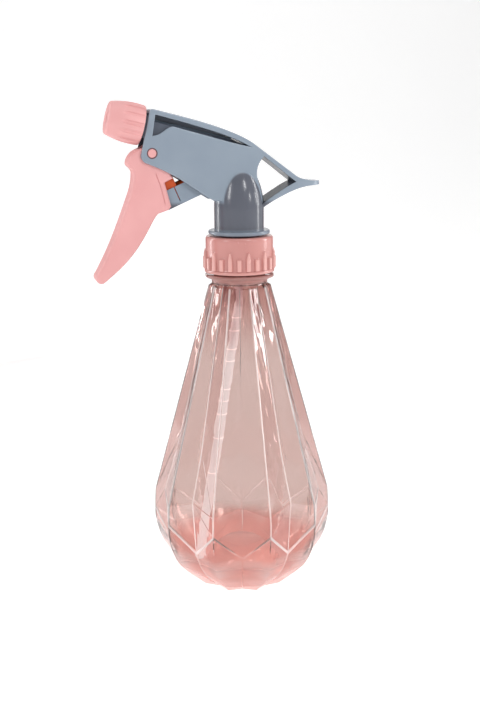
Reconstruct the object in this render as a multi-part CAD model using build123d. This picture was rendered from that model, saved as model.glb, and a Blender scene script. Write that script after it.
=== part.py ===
"""Hand mister: a faceted 500 ml spray bottle with a trigger sprayer head.

Millimetres, +Z up. The origin is the centre of the foot ring, on the surface the bottle stands on.
The bottle axis is +Z, and the nozzle points to -X. The head is symmetric about the plane Y = 0.
"""
from build123d import *
import math
import os

# ---------------------------------------------------------------- bottle
SIDES = 10                    # pleats round the bottle
RIDGE_TURN = 21.0             # degrees from +X to the first ridge
WALL = 0.9
PAST = 1.0                    # how far a cutting shape runs past the face it cuts
FOOT_R = 23.5                 # each pair below is radius and height of a point on a ridge
HEEL = (38.8, 14.5)
BELLY_LOW = (43.9, 26.0)
BELLY = (45.6, 37.5)
BELLY_HIGH = (45.3, 47.5)
SHOULDER = (15.6, 154.5)
FOOT_NOTCH_R = 20.4           # the same in the valley between two ridges
TIP = (38.8, 24.5)            # lower tip of a groove, where its two lower edges rise to the ridges
GROOVE = (41.0, 52.0)
CREST_Z = 76.0                # upper tip of the groove
NOTCH_R = 14.1                # valley at the shoulder
PUNT_R = 18.4                 # dome pushed up under the base
PUNT_H = 22.0                 # height it would reach without its flat top
PUNT_TOP = 20.0

# ---------------------------------------------------------------- bottle neck
NECK_R = 12.55                # neck finish at the thread root
NECK_BASE_R = 13.8
NECK_BORE_R = 10.8
LIP_Z = 174.6                 # top of the bottle
BEAD_R = 17.0                 # support bead under the collar
BEAD_Z = 158.4
BEAD_H = 2.1
THREAD_R = 13.8
THREAD_PITCH = 4.23
THREAD_TURNS = 1.5
THREAD_TOP = 3.2              # from the lip down to the end of the thread

# ---------------------------------------------------------------- collar
COLLAR_R = 16.6
COLLAR_RIB_R = 17.9
COLLAR_BOTTOM = 161.3
COLLAR_TOP = 179.0
COLLAR_ROOF = 1.7
COLLAR_BORE_R = 14.3
COLLAR_HOLE_R = 10.4
COLLAR_RIBS = 24
LONG_RIB = 9.6
SHORT_RIB = 6.4
RIB_W = 2.0
RIB_START = 1.2               # height of the ribs' feet above the collar's lower edge
COLLAR_LIP = 0.6              # how far the lower lip stands out
COLLAR_LIP_H = 1.8

# ---------------------------------------------------------------- head
SEAL_T = 1.2                  # neck gasket
GASKET_HOLE_R = 9.0
SEAT_Z = LIP_Z + SEAL_T       # underside of the head's seating disc
NECK_TUBE_R = 10.0            # head tube inside the collar's hole
HEAD_R = 12.15                # round neck of the head
DOME_Z = 192.0
DOME_H = 22.0
FLANGE_R = 15.1
FLANGE_Z = 179.8
FLANGE_H = 1.9
HALF_W = 7.0                  # half width of the head's slab
CHANNEL = 5.8                 # half width of the room between its side plates
CHANNEL_BACK = -12.0          # x where that room ends
SEPTUM_HALF = 1.2             # half thickness of the middle web that closes the slot
ROOM_ROOF = ((-41.2, 236.8), (-20.0, 230.9), (CHANNEL_BACK, 227.9))
WEB_TOP = ((-41.0, 237.5), (-20.0, 231.9), (CHANNEL_BACK, 228.9), (6.0, 220.6))
WEB_DEEP = 5.2
TAIL_END = (32.6, 8.2)        # x where the tail begins to round off in plan, and how far it goes on
EDGE = 0.5                    # rounding of the moulded edges
TRIGGER_EDGE = 1.1

NOZZLE_TILT = 14.0            # degrees above the horizontal
NOZZLE_FACE = (-46.6, 231.8)  # centre of the cap's rear face, x and z
CAP_LENGTH = 16.9
CAP_REAR_R = 9.4
CAP_FRONT_R = 8.3
CAP_BORE_R = 6.15
CAP_BORE_L = 13.5
CAP_FLUTES = 14
CAP_DISH_R = 2.2              # shallow dish round the spray hole
CAP_DISH = 1.2
JET_R = 0.45                  # spray hole
SPOUT_R = 5.8
SPOUT_L = 12.0
VALVE_BORE_R = 3.2            # bore of the spout round the outlet valve
VALVE_BORE_S = 4.0
BARREL_R = 4.3
BARREL_BACK = 43.0            # length of the barrel behind the cap's rear face
BARREL_HALF = 5.4             # half width of the block under the barrel
BLOCK_LOW = -5.4              # the block's lower and upper faces, measured square to the nozzle axis
BLOCK_HIGH = 2.9
BLOCK_BACK = 33.0
FRONT_WALL = (-2.0, -0.6)     # the wall that closes the room in front, along the nozzle axis
FRONT_WALL_HIGH = 5.0
RING_GROOVE = (8.1, 9.9)
FLUID_R = 1.6

PUMP_TILT = 23.0              # degrees, rising to the rear
PUMP_FRONT = (-36.8, 200.0)   # a point on the pump axis, x and z
TROUGH_HALF = 4.1
TROUGH_GAP = 3.7              # half width inside the trough
TROUGH_LOW = -7.2             # its lowest and highest edges, measured square to the pump axis
TROUGH_HIGH = 1.5
TROUGH_FLOOR = 1.9            # thickness of its floor
SLIT = (4.9, 5.4)             # the slit's two faces, along the pump axis
CYLINDER_R = 5.2
CYLINDER_START = 13.8         # along the pump axis
CYLINDER_END = 24.2
BORE_R = 3.45
BORE_END = 22.9
ROD_FRONT = -7.45
ROD_BACK = 6.5
ROD_HALF_W = 3.4
ROD_LOW = -4.95
ROD_HIGH = 6.3
SKIRT_R = 3.4
SKIRT_L = 4.0
SKIRT_END = 15.6
SHANK_R = 2.9                 # the piston's round shank, and the bottom of its seal groove
SHANK_BORE_R = 2.3
SEAL_BACK = (3.0, 1.6)        # the seal groove's two ends, measured forward from the skirt's end
SPRING_START = 9.1
SPRING_R = 1.6
SPRING_WIRE = 0.25

PIVOT = (-43.2, 219.3)        # trigger pivot, x and z
PIN_R = 2.1
RUN = 0.05                    # radial clearance of the pivot pin
TRIGGER_HALF = 5.5
TRIGGER_CHANNEL = 4.4
TRIGGER_WALL = 3.2
BOSS_R = 4.5
PAD = (-46.0, 196.2)          # where the trigger pushes the piston, x and z
PAD_R = 2.2

STEM_R = 4.6                  # valve body inside the head's neck
STEM_TOP = 206.0
PLATE_R = 8.4
PLATE_TOP = 178.4
CHAMBER_R = 2.6
SEAT_TOP = 180.0              # top of the inlet valve seat
BALL_R = 2.0
SEAT_HOLE_R = 1.4
SOCKET_R = 3.4
SEAT_T = 1.4                  # inlet valve seat
VENT_X = 6.5                  # air vent beside the valve body
ADAPTER_R = 5.2
ADAPTER_LOW = 173.0
SPIGOT_LOW = 171.0

TUBE_R = 2.4
TUBE_BORE_R = 1.6
TUBE_TOP_Z = 177.5
TUBE_BEND = (0.0, 148.0)      # where its two straight runs would meet, x and z
TUBE_BEND_R = 150.0
TUBE_FOOT = (-23.0, 11.0)

UP = (Align.CENTER, Align.CENTER, Align.MIN)
FROM_LOW_X = (Align.MIN, Align.CENTER, Align.MIN)


# ---------------------------------------------------------------- helpers
def save(shape, name):
    shape.label = name
    export_step(shape, f"parts/{name}.step")


def polar(radius, degrees, z):
    a = math.radians(degrees)
    return Vector(radius * math.cos(a), radius * math.sin(a), z)


def disc(radius, z0, z1):
    return Pos(0, 0, z0) * Cylinder(radius, z1 - z0, align=UP)


def ring(outer, inner, z0, z1):
    return disc(outer, z0, z1) - disc(inner, z0 - 1, z1 + 1)


def slab(outline, half):
    """A closed outline in x and z, as a solid that is 2 * half wide in Y."""
    return Pos(0, half, 0) * extrude(Plane.XZ * make_face(outline), amount=2 * half)


def slab_of(points, half):
    return slab(Polyline(*points, close=True), half)


def axis_frame(origin, tilt, sign):
    """A location on an axis in the XZ plane: local Z runs along it, towards sign * X, and local Y upward."""
    t = math.radians(tilt)
    along = (sign * math.cos(t), 0, math.sin(t))
    return Plane(origin=(origin[0], 0, origin[1]), x_dir=(0, sign, 0), z_dir=along).location


def block(half_y, low, high, start, end):
    """A box in an axis frame: half_y to each side, low to high upward, start to end along the axis."""
    return Pos(0, (low + high) / 2, (start + end) / 2) * Box(2 * half_y, high - low, end - start)


NOZZLE = axis_frame(NOZZLE_FACE, NOZZLE_TILT, -1)
PUMP = axis_frame(PUMP_FRONT, PUMP_TILT, 1)


# ---------------------------------------------------------------- bottle
def radius_in_plane(a, b, c, degrees, z):
    """Radius at which the plane through a, b and c meets this angle and height."""
    normal = (b - a).cross(c - a)
    return (normal.dot(a) - normal.Z * z) / normal.dot(polar(1, degrees, 0))


def faceted(inset, floor):
    """The bottle's outer form moved inward by inset, from floor up to the shoulder."""
    half = 180 / SIDES
    top = SHOULDER[1]

    def sector(k):
        a = RIDGE_TURN + 2 * half * k
        v = a + half
        ridge = [polar(FOOT_R - inset, a, floor)]
        ridge += [polar(r - inset, a, z) for r, z in (HEEL, BELLY_LOW, BELLY, BELLY_HIGH, SHOULDER)]
        notch = polar(NOTCH_R - inset, v, top)
        crest = polar(radius_in_plane(ridge[4], ridge[5], notch, v, CREST_Z), v, CREST_Z)
        foot = polar(FOOT_NOTCH_R - inset, v, floor)
        tip, groove = [polar(r - inset, v, z) for r, z in (TIP, GROOVE)]
        return ridge, (foot, tip, groove, crest, notch)

    sectors = [sector(k) for k in range(SIDES)]
    faces = []
    for k, (near, valley) in enumerate(sectors):
        far = sectors[(k + 1) % SIDES][0]
        foot, tip, groove, crest, notch = valley
        for ridge in (near, far):
            faces += [(ridge[5], notch, crest, ridge[4])]
            faces += [(ridge[4], crest, groove), (ridge[4], groove, tip)]
            faces += [(high, tip, low) for low, high in zip(ridge[1:4], ridge[2:5])]
            faces += [(ridge[1], tip, foot), (ridge[1], foot, ridge[0])]
    faces.append([p for ridge, valley in sectors for p in (ridge[5], valley[4])])
    faces.append([p for ridge, valley in sectors for p in (ridge[0], valley[0])])
    return Solid(Shell([make_face(Polyline(*points, close=True)) for points in faces]))


def punt(grow):
    """The dome under the base, a flat-topped cap of a sphere, grown outward by grow."""
    radius = (PUNT_R ** 2 + PUNT_H ** 2) / (2 * PUNT_H)
    return Pos(0, 0, PUNT_H - radius) * Sphere(radius + grow) & disc(2 * PUNT_R, -2 * WALL, PUNT_TOP + grow)


def neck_thread():
    rise = THREAD_TURNS * THREAD_PITCH
    low = LIP_Z - THREAD_TOP - rise
    path = Helix(pitch=THREAD_PITCH, height=rise, radius=NECK_R, center=(0, 0, low))
    depth = THREAD_R - NECK_R
    outline = Polyline((-0.4, -1.1), (depth, -0.45), (depth, 0.45), (-0.4, 1.1), close=True)
    start = Plane(origin=(NECK_R, 0, low), x_dir=(1, 0, 0), z_dir=path % 0)
    return sweep(start * make_face(outline), path=path, is_frenet=True)


def bottle():
    bead = disc(BEAD_R, BEAD_Z, BEAD_Z + BEAD_H)
    outer = faceted(0, 0) + disc(NECK_BASE_R, SHOULDER[1] - 1, BEAD_Z + 1) + fillet(bead.edges(), 0.8)
    outer += disc(NECK_R, BEAD_Z, LIP_Z)
    outer -= punt(0)
    inner = faceted(WALL, WALL) - punt(WALL)
    inner = inner & disc(2 * BELLY[0], 0, SHOULDER[1] - 1)
    inner += disc(NECK_BORE_R, SHOULDER[1] - 8, LIP_Z + 1)
    return (outer - inner) + neck_thread()


# ---------------------------------------------------------------- collar and neck
def collar_rib(length):
    depth = COLLAR_RIB_R - COLLAR_R + PAST
    rib = Box(depth, RIB_W, length, align=(Align.MAX, Align.CENTER, Align.MIN))
    rib = chamfer(rib.edges().filter_by(Axis.Y).group_by(Axis.X)[-1], 0.6)
    return fillet(rib.edges().filter_by(Axis.Z).group_by(Axis.X)[-1], 0.5)


def screw_collar():
    body = disc(COLLAR_R, COLLAR_BOTTOM + PAST, COLLAR_TOP)
    body = fillet(body.edges().sort_by(Axis.Z)[-1], 1.3)
    lip = disc(COLLAR_R + COLLAR_LIP, COLLAR_BOTTOM, COLLAR_BOTTOM + COLLAR_LIP_H)
    body += fillet(lip.edges(), 0.4)
    for k in range(COLLAR_RIBS):
        rib = collar_rib(SHORT_RIB if k % 2 else LONG_RIB)
        body += Rot(0, 0, k * 360 / COLLAR_RIBS) * Pos(COLLAR_RIB_R, 0, COLLAR_BOTTOM + RIB_START) * rib
    body -= disc(COLLAR_BORE_R, COLLAR_BOTTOM - PAST, COLLAR_TOP - COLLAR_ROOF)
    return body - disc(COLLAR_HOLE_R, COLLAR_TOP - 2 * COLLAR_ROOF, COLLAR_TOP + PAST)


def neck_gasket():
    return ring(NECK_R + 0.6, GASKET_HOLE_R, LIP_Z, SEAT_Z)


# ---------------------------------------------------------------- head housing
def head_outline():
    """Side outline of the slab: along the top to the tail, then back under it to the front."""
    top = Spline((-42.0, 239.3), (-25.2, 235.0), (-7.2, 229.3), (5.4, 223.3),
                 tangents=[(0.97, -0.24), (0.84, -0.54)])
    back = Line(top @ 1, (27.0, 207.4))
    tail_top = Spline(back @ 1, (31.9, 205.4), (39.8, 204.6), tangents=[back % 1, (1, 0)])
    tip = ThreePointArc(tail_top @ 1, (40.6, 203.6), (39.8, 202.6))
    under = Spline(tip @ 1, (30.4, 201.7), (19.2, 197.4), (9.0, 191.4), tangents=[(-1, 0), (-0.8, -0.6)])
    seat = Polyline(under @ 1, (-9.0, 191.4), (-9.0, 196.2), (-14.0, 196.5))
    belly = Spline(seat @ 1, (-32.2, 208.2), (-45.4, 214.5), tangents=[(-0.86, 0.5), (-0.93, 0.37)])
    corner = ThreePointArc(belly @ 1, (-47.8, 216.2), (-48.4, 218.6))
    front = Line(corner @ 1, (-43.9, 237.9))
    close = ThreePointArc(front @ 1, (-43.3, 239.0), top @ 0)
    return Curve() + [top, back, tail_top, tip, under, seat, belly, corner, front, close]


def spray_slot():
    """Outline of the long opening under the head's top rib, with its flared front corner."""
    upper = Spline((-41.2, 236.8), (-20.0, 230.9), (4.2, 221.5), tangents=[(0.97, -0.24), (0.87, -0.5)])
    lower = Spline(upper @ 1, (-15.0, 226.4), (-33.0, 231.4), tangents=[(-0.98, 0.2), (-0.96, 0.26)])
    flare = Spline(lower @ 1, (-37.6, 229.2), (-42.8, 227.3), tangents=[(-0.95, -0.1), (-1, -0.05)])
    return Curve() + [upper, lower, flare, Line(flare @ 1, upper @ 0)]


def tail_window():
    """Outline of the three-sided loop behind the neck."""
    strut = Line((11.0, 216.8), (27.0, 204.4))
    low = Spline(strut @ 1, (19.4, 200.4), (9.8, 194.2), tangents=[(-0.9, -0.35), (-0.8, -0.6)])
    rise = Line(low @ 1, (9.4, 200.0))
    back = Spline(rise @ 1, (7.4, 208.6), strut @ 0, tangents=[(-0.2, 1), (0.75, 0.65)])
    return Curve() + [strut, low, rise, back]


def room_outline():
    """Outline of the room between the side plates, open to the front and below."""
    return Polyline((-60, 241.4), *ROOM_ROOF, (CHANNEL_BACK, 190), (-60, 190), close=True)


def slab_plan():
    """Plan of the slab, with the tail's end rounded."""
    end, reach = TAIL_END
    low, high, front = FLANGE_Z, 250.0, -60.0
    straight = Pos(front, 0, low) * Box(end - front, 3 * HALF_W, high - low, align=FROM_LOW_X)
    return straight + extrude(Pos(end, 0, low) * Ellipse(reach, HALF_W), amount=high - low)


def slot_web():
    """The web in the middle of the slot, hanging from its roof down to the barrel."""
    return slab_of([*WEB_TOP, *((x, z - WEB_DEEP) for x, z in reversed(WEB_TOP))], SEPTUM_HALF)


def head_neck():
    dome = Pos(0, 0, DOME_Z) * scale(Sphere(HEAD_R), by=(1, 1, DOME_H / HEAD_R))
    body = disc(HEAD_R, FLANGE_Z + 0.5, DOME_Z) + (dome & disc(HEAD_R + 1, DOME_Z, DOME_Z + DOME_H + 1))
    flange = disc(FLANGE_R, FLANGE_Z, FLANGE_Z + FLANGE_H)
    body += fillet(flange.edges(), 0.7)
    body += disc(NECK_TUBE_R, SEAT_Z, FLANGE_Z + 1)
    return body + disc(COLLAR_BORE_R - 0.6, SEAT_Z, COLLAR_TOP - COLLAR_ROOF - 0.1)


def pin_at_pivot(radius, half):
    return Pos(PIVOT[0], 0, PIVOT[1]) * Rot(90, 0, 0) * Cylinder(radius, 2 * half)


def round_edges(body, half, radius):
    """Rounds the edges of a slab's two flat sides."""
    return fillet(body.edges().filter_by(lambda e: abs(abs(e.center().Y) - half) < 0.01), radius)


def head_housing():
    through = HALF_W + PAST
    body = slab(head_outline(), HALF_W) - slab(spray_slot(), through) - slab(tail_window(), through)
    body = round_edges(body, HALF_W, EDGE) & slab_plan()
    body = body - slab(room_outline(), CHANNEL) + slot_web() + head_neck()
    body -= NOZZLE * disc(BARREL_R + RUN, -BARREL_BACK - 0.3, 0)
    body -= disc(PLATE_R + RUN, SEAT_Z - 1, PLATE_TOP)
    body -= disc(STEM_R + RUN, PLATE_TOP - 1, STEM_TOP + 0.2)
    body -= disc(FLUID_R, STEM_TOP, PIVOT[1])
    body -= PUMP * disc(FLUID_R, CYLINDER_END - 4, CYLINDER_END + 14)
    return body - pin_at_pivot(PIN_R + RUN, through)


# ---------------------------------------------------------------- spray line
def spray_barrel():
    """The tube from the valve body to the nozzle, with the block it is moulded on and its spout."""
    tube = disc(BARREL_R, -BARREL_BACK, 0) + block(BARREL_HALF, BLOCK_LOW, BLOCK_HIGH, -BLOCK_BACK, -1.0)
    tube += block(CHANNEL, BLOCK_LOW, FRONT_WALL_HIGH, *FRONT_WALL)
    tube += disc(SPOUT_R, FRONT_WALL[1], SPOUT_L)
    tube -= ring(SPOUT_R + PAST, SPOUT_R - 1.0, *RING_GROOVE)
    tube -= disc(FLUID_R, -BARREL_BACK - PAST, SPOUT_L + PAST)
    tube -= disc(VALVE_BORE_R, VALVE_BORE_S, SPOUT_L + PAST)
    room = Location(NOZZLE).inverse() * slab(room_outline(), CHANNEL)
    ahead = block(CHANNEL, 2 * BLOCK_LOW, -2 * BLOCK_LOW, -3.5, SPOUT_L + PAST)
    return NOZZLE * (tube & (room + disc(BARREL_R, -BARREL_BACK - PAST, -20) + ahead))


def outlet_valve():
    plate = disc(2.4, VALVE_BORE_S + RUN, VALVE_BORE_S + 1.2)
    stem = disc(0.8, VALVE_BORE_S + 1.0, VALVE_BORE_S + 2.6)
    return NOZZLE * (plate + stem)


def coil(radius, wire, start, end, turns):
    """A round-wire compression spring about local Z."""
    rise = end - start - 2 * wire
    path = Helix(pitch=rise / turns, height=rise, radius=radius, center=(0, 0, start + wire))
    section = Plane(origin=(radius, 0, start + wire), z_dir=path % 0) * Circle(wire)
    return sweep(section, path=path, is_frenet=True)


def outlet_valve_spring():
    return NOZZLE * coil(1.4, 0.2, VALVE_BORE_S + 1.3, 7.8, 4)


def nozzle_o_ring():
    middle = (RING_GROOVE[0] + RING_GROOVE[1]) / 2
    return NOZZLE * Pos(0, 0, middle) * Torus(SPOUT_R - 0.45, 0.55)


def nozzle_insert():
    body = disc(5.6, SPOUT_L + 0.3, CAP_BORE_L - 0.05) + disc(2.6, 8.2, SPOUT_L + 0.5)
    return NOZZLE * (body - disc(0.5, 8, CAP_BORE_L))


def nozzle_cap():
    """The fluted cap: a barrel shape with shallow flutes that run out towards the front."""
    side = ThreePointArc((CAP_REAR_R - 0.2, 0), ((CAP_REAR_R + CAP_FRONT_R) / 2 + 0.5, CAP_LENGTH / 2),
                         (CAP_FRONT_R - 0.4, CAP_LENGTH - 1.0))
    rim = ThreePointArc(side @ 1, (CAP_FRONT_R - 0.9, CAP_LENGTH - 0.2), (CAP_FRONT_R - 1.9, CAP_LENGTH))
    closing = Polyline(rim @ 1, (0, CAP_LENGTH), (0, 0), side @ 0)
    cap = revolve(Plane.XZ * make_face(Curve() + [side, rim, closing]), axis=Axis.Z)
    flute = Pos(CAP_REAR_R + 0.25, 0, -1) * Rot(0, -5, 0) * Cylinder(0.7, 0.66 * CAP_LENGTH, align=UP)
    for k in range(CAP_FLUTES):
        cap -= Rot(0, 0, (k + 0.5) * 360 / CAP_FLUTES) * flute
    cap -= disc(CAP_BORE_R, -1, CAP_BORE_L)
    cap -= disc(JET_R, CAP_BORE_L - PAST, CAP_LENGTH + PAST)
    return NOZZLE * (cap - disc(CAP_DISH_R, CAP_LENGTH - CAP_DISH, CAP_LENGTH + PAST))


# ---------------------------------------------------------------- pump
def pump_cylinder():
    """The cylinder with the open trough in front of it, and the slit in the trough's sides."""
    body = block(TROUGH_HALF, TROUGH_LOW, TROUGH_HIGH, -1.5, CYLINDER_START + 1)
    body += block(TROUGH_HALF, TROUGH_LOW, 0, CYLINDER_START, 20)
    body += disc(CYLINDER_R, CYLINDER_START, CYLINDER_END)
    floor = TROUGH_LOW + TROUGH_FLOOR
    body -= block(TROUGH_GAP, floor, CYLINDER_R + PAST, -3, CYLINDER_START)
    body -= disc(BORE_R, CYLINDER_START - PAST, BORE_END)
    body -= disc(FLUID_R, BORE_END - PAST, CYLINDER_END + PAST)
    slit = block(TROUGH_HALF + PAST, TROUGH_LOW + 1.3, TROUGH_HIGH + PAST, *SLIT)
    bridge = block(TROUGH_GAP, TROUGH_LOW + 0.6, floor, SLIT[0] - 0.4, SLIT[1] + 0.4)
    return PUMP * (body - slit + bridge)


def seal_groove():
    return [SKIRT_END - back for back in SEAL_BACK]


def piston():
    body = block(ROD_HALF_W, ROD_LOW, ROD_HIGH, ROD_FRONT, ROD_BACK)
    body += disc(SHANK_R, ROD_BACK, SKIRT_END - PAST) + disc(SKIRT_R, SKIRT_END - SKIRT_L, SKIRT_END)
    body -= ring(SKIRT_R + PAST, SHANK_R, *seal_groove())
    return PUMP * (body - disc(SHANK_BORE_R, SPRING_START, SKIRT_END + PAST))


def piston_cup_seal():
    return PUMP * ring(SKIRT_R + 0.02, SHANK_R, *seal_groove())


def piston_spring():
    return PUMP * coil(SPRING_R, SPRING_WIRE, SPRING_START, BORE_END, 8)


# ---------------------------------------------------------------- valve body and dip tube
def valve_body():
    body = disc(PLATE_R, SEAT_Z, PLATE_TOP) + disc(STEM_R, PLATE_TOP, STEM_TOP)
    body -= disc(SOCKET_R, SEAT_Z - 1, SEAT_TOP) + disc(CHAMBER_R, SEAT_TOP - 1, STEM_TOP - 2)
    body -= disc(FLUID_R, STEM_TOP - 3, STEM_TOP + 1)
    return body - Pos(VENT_X, 0, 0) * disc(0.6, SEAT_Z - PAST, PLATE_TOP + PAST)


def inlet_valve_seat():
    return ring(SOCKET_R, SEAT_HOLE_R, SEAT_TOP - SEAT_T, SEAT_TOP)


def inlet_ball():
    return Pos(0, 0, SEAT_TOP + math.sqrt(BALL_R ** 2 - SEAT_HOLE_R ** 2) + 0.02) * Sphere(BALL_R)


def vent_valve():
    return Pos(VENT_X, 0, 0) * disc(1.3, SEAT_Z - 0.9, SEAT_Z)


def dip_tube_adapter():
    flange = ring(ADAPTER_R, TUBE_R, ADAPTER_LOW, SEAT_Z)
    return flange + ring(SOCKET_R, TUBE_R, SPIGOT_LOW, SEAT_TOP - SEAT_T)


def dip_tube():
    top = (0, 0, TUBE_TOP_Z)
    bend = (TUBE_BEND[0], 0, TUBE_BEND[1])
    foot = (TUBE_FOOT[0], 0, TUBE_FOOT[1])
    path = FilletPolyline(top, bend, foot, radius=TUBE_BEND_R)
    section = Plane(origin=top, z_dir=path % 0)
    outer = sweep(section * Circle(TUBE_R), path=path)
    inner = sweep(section * Circle(TUBE_BORE_R), path=path)
    return outer - inner


# ---------------------------------------------------------------- trigger
def trigger_outline():
    """Side outline: nose, grip, toe, inner edge, heel, the edge over the pump, then round the pivot."""
    nose = Spline((-47.0, 222.0), (-53.0, 218.4), (-54.4, 213.8), (-51.9, 210.4),
                  tangents=[(-0.9, -0.3), (0.2, -1)])
    grip = Spline(nose @ 1, (-54.8, 198.0), (-61.3, 182.0), (-70.6, 163.6), tangents=[(0, -1), (-0.5, -0.87)])
    toe = ThreePointArc(grip @ 1, (-70.9, 160.0), (-67.6, 159.3))
    inner = Spline(toe @ 1, (-54.4, 171.0), (-44.6, 185.4), (-40.8, 191.1), tangents=[(0.8, 0.6), (0.7, 0.7)])
    heel = Polyline(inner @ 1, (-35.6, 192.8), (-34.4, 194.4), (-37.3, 205.6), (-33.0, 207.6), (-39.0, 217.6))
    boss = ThreePointArc(heel @ 1, (-41.2, 223.3), (-44.6, 223.6))
    return Curve() + [nose, grip, toe, inner, heel, boss, Line(boss @ 1, nose @ 0)]


def trigger_groove():
    """The shallow groove that runs along the edge over the pump, on both sides."""
    strip = [(-41.4, 210.0), (-39.3, 204.4), (-37.2, 195.8), (-37.6, 195.7), (-39.7, 204.3), (-41.8, 209.8)]
    return slab_of(strip, TRIGGER_HALF + 1) - slab_of(strip, TRIGGER_HALF - 0.3)


def trigger():
    outline = trigger_outline()
    body = round_edges(slab(outline, TRIGGER_HALF), TRIGGER_HALF, TRIGGER_EDGE) - trigger_groove()
    hollow = Pos(TRIGGER_WALL, 0, 0) * slab(outline, TRIGGER_CHANNEL)
    above_toe = Pos(-50, 0, 166) * Box(80, 40, 80, align=UP)
    body -= hollow & above_toe
    body -= pin_at_pivot(BOSS_R + 1.5, TRIGGER_CHANNEL)
    pad = Pos(PAD[0], 0, PAD[1]) * Rot(90, 0, 0) * Cylinder(PAD_R, 6.0)
    rib = Pos(PAD[0], 0, PAD[1]) * Box(6.5, 2.4, 2.4, align=(Align.MAX, Align.CENTER, Align.CENTER))
    return body + pad + rib - pin_at_pivot(PIN_R, HALF_W)


def trigger_pin():
    pin = pin_at_pivot(PIN_R, HALF_W - 0.1)
    return fillet(pin.edges(), 0.3)


PARTS = (bottle, screw_collar, neck_gasket, head_housing, spray_barrel, outlet_valve, outlet_valve_spring,
         nozzle_o_ring, nozzle_insert, nozzle_cap, pump_cylinder, piston, piston_cup_seal, piston_spring,
         valve_body, inlet_valve_seat, inlet_ball, vent_valve, dip_tube_adapter, dip_tube, trigger,
         trigger_pin)

if __name__ == "__main__":
    os.makedirs("parts", exist_ok=True)
    for make in PARTS:
        save(make(), make.__name__)
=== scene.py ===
"""Looks of the hand mister: meshes, materials, light and camera, built round the fixed CAD frame.

Shapes are worked out in millimetres in the CAD frame (+Z up, nozzle towards -X), and turned into metres
when a mesh is made. Materials read an object's own coordinates, which are metres.
"""

import math

import bmesh
import bpy
from mathutils import Matrix, Vector


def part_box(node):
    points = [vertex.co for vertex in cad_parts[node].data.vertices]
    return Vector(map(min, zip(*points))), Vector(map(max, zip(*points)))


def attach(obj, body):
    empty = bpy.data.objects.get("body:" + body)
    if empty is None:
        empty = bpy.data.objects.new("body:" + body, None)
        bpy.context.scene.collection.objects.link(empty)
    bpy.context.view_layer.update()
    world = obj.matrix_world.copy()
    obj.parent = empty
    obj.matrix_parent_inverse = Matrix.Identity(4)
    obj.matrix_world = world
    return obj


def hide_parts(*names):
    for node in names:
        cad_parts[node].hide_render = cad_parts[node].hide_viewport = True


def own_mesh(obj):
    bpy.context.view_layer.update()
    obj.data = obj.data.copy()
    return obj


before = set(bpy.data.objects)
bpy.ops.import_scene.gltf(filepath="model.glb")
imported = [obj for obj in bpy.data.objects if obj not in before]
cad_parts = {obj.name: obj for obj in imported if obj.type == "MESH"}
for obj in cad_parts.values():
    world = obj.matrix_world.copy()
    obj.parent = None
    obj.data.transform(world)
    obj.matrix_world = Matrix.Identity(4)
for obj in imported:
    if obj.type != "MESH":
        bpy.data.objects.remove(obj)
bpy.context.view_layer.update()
MM = 0.001


def span(node):
    """(lowest, highest) corner of a CAD node in millimetres."""
    low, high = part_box(node)
    return Vector(low) / MM, Vector(high) / MM


# ---------------------------------------------------------------- the bottle's sizes
SIDES = 10                     # pleats round the bottle
RIDGE_TURN = 21.0              # degrees from +X to the first ridge
HALF_PLEAT = 180 / SIDES
# (radius, height) up the curved part of a ridge, and up a valley as far as its groove's lower tip
RIDGE = ((23.4, 0.0), (38.0, 13.5), (43.0, 22.5), (45.1, 31.5), (45.4, 37.5), (45.2, 43.0), (44.9, 48.0))
VALLEY = ((20.4, 0.0), (30.6, 9.5), (35.8, 17.0), (38.8, 24.5))
ARM_TOP = 37.5                 # where a groove's two lower edges meet the ridges
GROOVE = (41.0, 52.0)          # radius and height of the groove's middle
BELLY_Z = 48.0                 # where the ridges turn straight
SHOULDER = (15.6, 154.5)
NOTCH_R = 13.9                 # valley at the shoulder
CREST_Z = 76.0                 # upper tip of a groove
PUNT_R = 18.4                  # dome pushed up into the base
PUNT_TOP = 20.0
PUNT_SQUARENESS = 0.8          # below 1 the dome's side is steeper than a round one's
PUNT_DEGREES = (0, 18, 36, 54, 66)
WALL = 0.9
RIDGE_ROUND = 0.55             # width of the bevel along a full ridge
VALLEY_WEIGHT = 0.35           # share of that width along a valley
FACET_DEGREES = 3.0            # belly facets that meet at more than this stay sharp
NECK_R = 13.8
LIP_Z = span("bottle")[1].z


# ---------------------------------------------------------------- helpers
def polar(radius, degrees, z):
    """The point at this distance from the bottle's axis, at this angle and height."""
    a = math.radians(degrees)
    return Vector((radius * math.cos(a), radius * math.sin(a), z))


def hermite(points, x):
    """Smooth height of a curve through (value, x) points at x."""
    if x <= points[0][1]:
        return points[0][0]
    if x >= points[-1][1]:
        return points[-1][0]
    i = max(k for k in range(len(points) - 1) if points[k][1] <= x)

    def slope(k):
        low, high = max(k - 1, 0), min(k + 1, len(points) - 1)
        return (points[high][0] - points[low][0]) / (points[high][1] - points[low][1])

    (y0, x0), (y1, x1) = points[i], points[i + 1]
    h = x1 - x0
    t = (x - x0) / h
    a = (1 + 2 * t) * (1 - t) ** 2 * y0 + t * (1 - t) ** 2 * h * slope(i)
    return a + t * t * (3 - 2 * t) * y1 + t * t * (t - 1) * h * slope(i + 1)


def smoothstep(low, high, x):
    """0 below low, 1 above high, with a smooth rise between."""
    t = min(max((x - low) / (high - low), 0.0), 1.0)
    return t * t * (3 - 2 * t)


def lerp_list(low, high, steps):
    """Evenly spaced values from low to high, both included."""
    return [low + (high - low) * k / steps for k in range(steps + 1)]


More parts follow.
